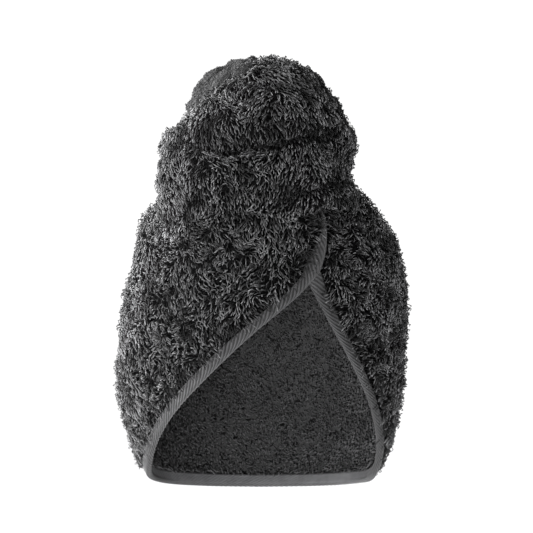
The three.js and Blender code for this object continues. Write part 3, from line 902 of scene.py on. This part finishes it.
pile = {
    "height": 4.8 * mm,
    "reach": 5.8 * mm,
    "width": 0.4 * mm,
    "curl": 0.9 * mm,
    "clump": 10 * mm,  # loops lean together in clumps of about this size
    "fall": {"left": 0.5, "right": 0.6, "twist": 1.2},  # how far the lay follows gravity
    "drift": 1.35,
    "sway": 1.3,  # of the lay over about twice that size
    "swayScale": 0.42,
    "scatter": 0.3,
    "upright": 0.26,  # share of the loops that stand up
    "uprightReach": 0.55,
    "lowest": 0.45,  # share of the height, to which the next three add
    "layerRise": 0.45,
    "swellRise": 0.7,
    "uprightRise": 0.38,
    "swellSize": 7 * mm,
    "reaches": (0.65, 1.2),
    "widths": (0.8, 1.2),
    "plainWidth": 1.25,
    "valley": 5 * mm,  # depth of a crease at which its pile lies lowest and is darkest, the darkness being painted shade
    "valleyPress": 0.45,
    "hollow": (3 * mm, 6 * mm),
}
hem = {  # within the reach of the tape the loops lean over it in front, and are pressed down behind
    "reach": 7 * mm,
    "overhang": 2.5,
    "front": (-10 * mm, 30 * mm),
    "pressed": 0.6,
    "rise": 0.25,
    "topHeights": (-34 * mm, -8 * mm),  # the loops close over the tape's top end
    "sidePlaces": (66 * mm, 88 * mm),
    "sideTuck": 0.8,
    "tuckReach": 0.7,
}
pileTone = {
    "middle": 0.16,
    "layer": 0.45,  # low loops lie in the shade of the high ones
    # clumps differ in tone at random, and the darker ones are painted shade deepening the gaps between clumps
    "clump": 0.8,
    "clumpSize": 11 * mm,
    "scatter": 0.12,
    # darker loops along the tape's edge in front: painted shade
    "hem": 0.25,
    "tucked": 0.45,  # the right flap goes into the shade of the left one
    "tuckedAt": np.array([56, -96, -4]) * mm,
    "tuckedReach": 24 * mm,
}


def layOf(places, normals, fall):
    drift = noiseAt(places, 1 / pile["clump"], 3.0)
    scatter = random.normal(size=(len(places), 3))
    sway = noiseAt(places, pile["swayScale"] / pile["clump"], 8.0)
    wanted = -up * fall + drift * pile["drift"] + sway * pile["sway"] + scatter * pile["scatter"]
    return wanted - normals * dots(wanted, normals)


def towardsTape(places, normals):
    pull = np.zeros_like(places)
    nearness = np.zeros(len(places))
    for i, p in enumerate(places):
        spot, _, _, far = tapeTree.find_nearest(Vector(p), hem["reach"])
        if far is not None:
            pull[i] = np.array(spot) - p
            nearness[i] = 1 - far / hem["reach"]
    return unit(pull - normals * dots(pull, normals)), nearness


def longPile(name, side, form, places, normals):
    count = len(places)
    swell = noiseAt(places, 1 / pile["swellSize"], 11.0)[:, 0]
    pull, nearTape = towardsTape(places, normals)
    inFront = smoothStep(-places[:, 1], *hem["front"])
    pressed = 1 - nearTape * (1 - inFront) * hem["pressed"]
    tuck = smoothStep(places[:, 2], *hem["topHeights"])
    sideTuck = hem["sideTuck"] * smoothStep(places[:, 0], *hem["sidePlaces"])
    tuck = nearTape * inFront * np.maximum(tuck, sideTuck)
    valley = np.clip(creaseDepth(places) / pile["valley"], 0, 1)
    layer = random.uniform(0, 1, count)
    standing = random.random(count) < pile["upright"]
    height = pile["lowest"] + pile["layerRise"] * layer + pile["swellRise"] * swell
    height = pile["height"] * (height + pile["uprightRise"] * standing) * pressed
    height *= (1 - pile["valleyPress"] * valley) * (1 + hem["rise"] * nearTape * inFront)
    if side != "twist":  # a thin wall can't sink as far as its hollow asks, so the pile lies lower there
        most, scale = pile["hollow"]
        height *= 1 + np.clip(lumpRise(places) + skin["shallowest"], -most, 0) / scale
    reach = pile["reach"] * random.uniform(*pile["reaches"], count) * pressed
    reach = reach * np.where(standing, pile["uprightReach"], 1.0)
    reach *= (1 + hem["tuckReach"] * tuck) * (1 - pile["valleyPress"] * valley)
    curl = pile["curl"] * random.normal(size=count)
    width = pile["width"] * random.uniform(*pile["widths"], count)
    if form == "plain":
        width *= pile["plainWidth"]
    # clump tone: random, and partly painted shade in the gaps between clumps
    shade = noiseAt(places, 1 / pileTone["clumpSize"], 23.0)[:, 1]
    tone = pileTone["middle"] + pileTone["layer"] * layer + pileTone["clump"] * shade
    # loops in a crease are darker: painted shade
    tone = tone + random.normal(size=count) * pileTone["scatter"] - valley
    # painted shade on the loops along the tape's edge in front
    tone -= pileTone["hem"] * nearTape * inFront
    if side == "right":
        far = np.linalg.norm(places - pileTone["tuckedAt"], axis=1)
        tone -= pileTone["tucked"] * np.exp(-((far / pileTone["tuckedReach"]) ** 2))
    lay = layOf(places, normals, pile["fall"][side])
    lay += pull * (nearTape * inFront * hem["overhang"])[:, None]
    tone = np.clip(tone, 0, 1)
    obj = strandMesh(name, form, places, normals, unit(lay), height, reach, curl, width, tone)
    return finishPiece(obj, longYarn)


outer = {
    "frontTurn": 0.12,  # a normal's -Y share above which a place is seen from the front
    "edgeOn": (60 * mm, 80 * mm),  # further across or higher than this, more of it counts as front
    "edgeTurn": 0.35,
    "blend": 0.22,  # feathers the change from one form of loop to the other
    "blendWave": np.array([2100.0, 1700.0, 1900.0]),
    "clear": 3 * mm,  # the other solids and the tape leave this much room
    "clearOfTape": 0.3 * mm,
    "most": {"front": 10500, "back": 16500},  # loops in one piece
}


def outerPile(side, obj, others):
    trees = [solidTrees[name] for name in others] + [tapeTree]

    def keepFor(front):
        def keep(places, normals):
            across, high = outer["edgeOn"]
            edgeOn = (np.abs(places[:, 0]) > across) | (places[:, 2] > high)
            blend = np.sin(places @ outer["blendWave"]) * outer["blend"]
            seen = -normals[:, 1] > outer["frontTurn"] - outer["edgeTurn"] * edgeOn + blend
            keepers = seen if front else ~seen
            if side == "twist":
                keepers &= pastLine(places) < 0
            else:
                keepers &= ~facesHead(places, normals)
            found = np.flatnonzero(keepers)
            spots, ways = places[found], normals[found]
            good = clearOf(spots, ways, trees, outer["clear"])
            good &= farFrom(spots, tapeTree, outer["clearOfTape"])
            keepers[found[~good]] = False
            return keepers
        return keep

    for part, form in (("front", "long"), ("back", "plain")):
        places, normals = spreadOver(obj.data, spacing[part], keepFor(part == "front"))
        pieces = math.ceil(len(places) / outer["most"][part])
        order = np.argsort(places[:, 2], kind="stable")
        for k, chosen in enumerate(np.array_split(order, pieces)):
            name = f"{side}_pile_{part}_{k + 1}"
            piles[side].append(longPile(name, side, form, places[chosen], normals[chosen]))
        print(side, part, len(places), "loops")


outerPile("left", leftCloth, ["twisted_tail", "right_panel", "tail_button"])
outerPile("right", rightCloth, ["twisted_tail", "left_panel", "tail_button"])
outerPile("twist", twistCloth, ["left_panel", "right_panel", "tail_button"])


# close pile on the sheared reverse

shearedForm = {
    "height": 0.6 * mm,
    "heights": (0.6, 1.4),
    "reach": 1.8 * mm,
    "reaches": (0.5, 1.4),
    "width": 0.4 * mm,
    "widths": (0.8, 1.2),
    "curl": 0.2 * mm,
    "fall": 0.6,
    "tone": 0.6,
    "dipShade": 0.3,  # painted shade: darker for each mm that the cloth dips
    "toneScatter": 0.12,
}


def onReverse(places, _):
    return pastLine(places) >= 0


def shearedPile():
    places, normals = spreadOver(twistCloth.data, spacing["sheared"], onReverse)
    count = len(places)
    lay = unit(layOf(places, normals, shearedForm["fall"]))
    height = shearedForm["height"] * random.uniform(*shearedForm["heights"], count)
    reach = shearedForm["reach"] * random.uniform(*shearedForm["reaches"], count)
    width = shearedForm["width"] * random.uniform(*shearedForm["widths"], count)
    curl = shearedForm["curl"] * random.normal(size=count)
    dip = (reverseFold(places) + creaseDepth(places)) / mm
    # painted shade in the dips of the folds
    tone = shearedForm["tone"] - shearedForm["dipShade"] * dip
    tone = np.clip(tone + shearedForm["toneScatter"] * random.normal(size=count), 0, 1)
    obj = strandMesh("twist_pile_sheared", "short", places, normals, lay, height, reach, curl, width, tone)
    piles["twist"].append(finishPiece(obj, shearedYarn))
    print("twist sheared", count, "loops")


shearedPile()


# short pile inside the hood

innerPile = {
    "height": 1.2 * mm,
    "heights": (0.7, 1.3),
    "reach": 3.4 * mm,
    "reaches": (0.5, 1.4),
    "width": 0.75 * mm,
    "widths": (0.8, 1.3),
    "fall": 0.6,
    "tone": 0.75,
    "toneScatter": 0.22,
    "backTurn": 0.25,  # a normal's +Y share above which a place is on the front's inner face
    "clear": 4 * mm,
    "seam": 5 * mm,
    "tapeInside": 9 * mm,  # no loops where the tape covers the cloth, seen from the middle of the hood
    "clearOfTape": 0.5 * mm,
    "hemRise": 4.5,
    "hemReach": 0.4,
}


def shortPile(side, obj, others):
    trees = [solidTrees[name] for name in others]

    def keepFor(seen):
        def keep(places, normals):
            keepers = facesHead(places, normals) & ((normals[:, 1] < innerPile["backTurn"]) == seen)
            found = np.flatnonzero(keepers)
            spots, ways = places[found], normals[found]
            good = clearOf(spots, ways, trees, innerPile["clear"]) | (np.abs(spots[:, 0]) < innerPile["seam"])
            level = unit((headLine - spots) * (1, 1, 0))
            good &= clearOf(spots, level, [tapeTree], innerPile["tapeInside"])
            good &= farFrom(spots, tapeTree, innerPile["clearOfTape"])
            keepers[found[~good]] = False
            return keepers
        return keep

    parts = [
        spreadOver(obj.data, spacing[part], keepFor(part == "inner")) for part in ("inner", "innerFront")
    ]
    places, normals = [np.concatenate(both) for both in zip(*parts)]
    count = len(places)
    pull, nearTape = towardsTape(places, normals)
    lay = unit(layOf(places, normals, innerPile["fall"]) + pull * (nearTape * hem["overhang"])[:, None])
    height = innerPile["height"] * random.uniform(*innerPile["heights"], count)
    height *= 1 + innerPile["hemRise"] * nearTape
    reach = innerPile["reach"] * random.uniform(*innerPile["reaches"], count)
    reach *= 1 + innerPile["hemReach"] * nearTape
    width = innerPile["width"] * random.uniform(*innerPile["widths"], count)
    tone = random.normal(size=count) * innerPile["toneScatter"] + innerPile["tone"]
    tone = np.clip(tone, 0, 1)
    name = f"{side}_pile_inner"
    made = strandMesh(name, "short", places, normals, lay, height, reach, np.zeros(count), width, tone)
    piles[side].append(finishPiece(made, innerYarn))
    print(side, "inner", count, "loops")


shortPile("left", leftCloth, ["right_panel"])
shortPile("right", rightCloth, ["left_panel"])


# what carries what

for obj, node, second, chosen in (
    (leftCloth, "left_panel", innerCloth, leftInside),
    (rightCloth, "right_panel", innerCloth, rightInside),
    (twistCloth, "twisted_tail", shearedCloth, twistReverse),
):
    finishPiece(obj, groundCloth, [node])
    obj.data.materials.append(second)
    obj.data.polygons.foreach_set("material_index", chosen)

button = frame["nodes"]["tail_button"]
button.data.materials.clear()
button.data.materials.append(buttonMaterial())


# studio: pale floor and surroundings, soft light, camera straight in front

studio = {
    "floorDrop": -0.75,
    "floorSize": 14,
    "floorTones": [(0.0, 0.97), (1.0, 0.98)],
    "floorScale": 3.0,
    "world": 1.05,  # strength of the pale surroundings
    "aim": (0, 0, -50 * mm),
    "key": {"place": (-1.4, -1.0, 1.3), "size": 0.6, "energy": 98},
    "front": {"place": (-0.4, -1.85, -0.48), "size": 0.5, "energy": 44},
    "side": {"place": (-1.6, 0.5, 0.2), "size": 0.9, "energy": 335},
    "rim": {"place": (1.6, 0.4, 0.1), "size": 0.9, "energy": 22},
}
camera = {
    "distance": 1.6,
    "across": 3.5 * mm,
    "height": -45 * mm,
    "viewWidth": 410.4 * mm,
    "sensor": 36,
}


def softLight(name, place, size, energy):
    bpy.ops.object.light_add(type="AREA", location=place)
    light = bpy.context.active_object
    light.name = name
    light.data.size = size
    light.data.energy = energy
    aim = Vector(studio["aim"]) - Vector(place)
    light.rotation_euler = aim.to_track_quat("-Z", "Y").to_euler()


def studioSet():
    bpy.ops.mesh.primitive_plane_add(size=studio["floorSize"], location=(0, 0, studio["floorDrop"]))
    floor = bpy.context.active_object
    floor.name = "floor"
    material, tree, shader = newMaterial("pale floor", roughness=0.9, specular=0.1)
    mottle = rampNode(tree, noiseNode(tree, studio["floorScale"]), studio["floorTones"])
    tree.links.new(mottle, shader.inputs["Base Color"])
    floor.data.materials.append(material)
    world = bpy.data.worlds.new("pale surroundings")
    bpy.context.scene.world = world
    world.use_nodes = True
    background = world.node_tree.nodes["Background"]
    background.inputs["Color"].default_value = (1, 1, 1, 1)
    background.inputs["Strength"].default_value = studio["world"]
    for name in ("key", "front", "side", "rim"):
        softLight(name, **studio[name])
    bpy.context.scene.view_settings.view_transform = "Standard"  # plain tones


def cameraSet():
    place = (camera["across"], -camera["distance"], camera["height"])
    bpy.ops.object.camera_add(location=place, rotation=(math.radians(90), 0, 0))
    eye = bpy.context.active_object
    eye.data.sensor_width = camera["sensor"]
    eye.data.lens = camera["sensor"] * camera["distance"] / camera["viewWidth"]
    bpy.context.scene.camera = eye


studioSet()
cameraSet()
total = sum(len(trianglesOf(o.data)) for o in bpy.data.objects if o.type == "MESH" and not o.hide_render)
print("studio set,", total, "triangles shown")
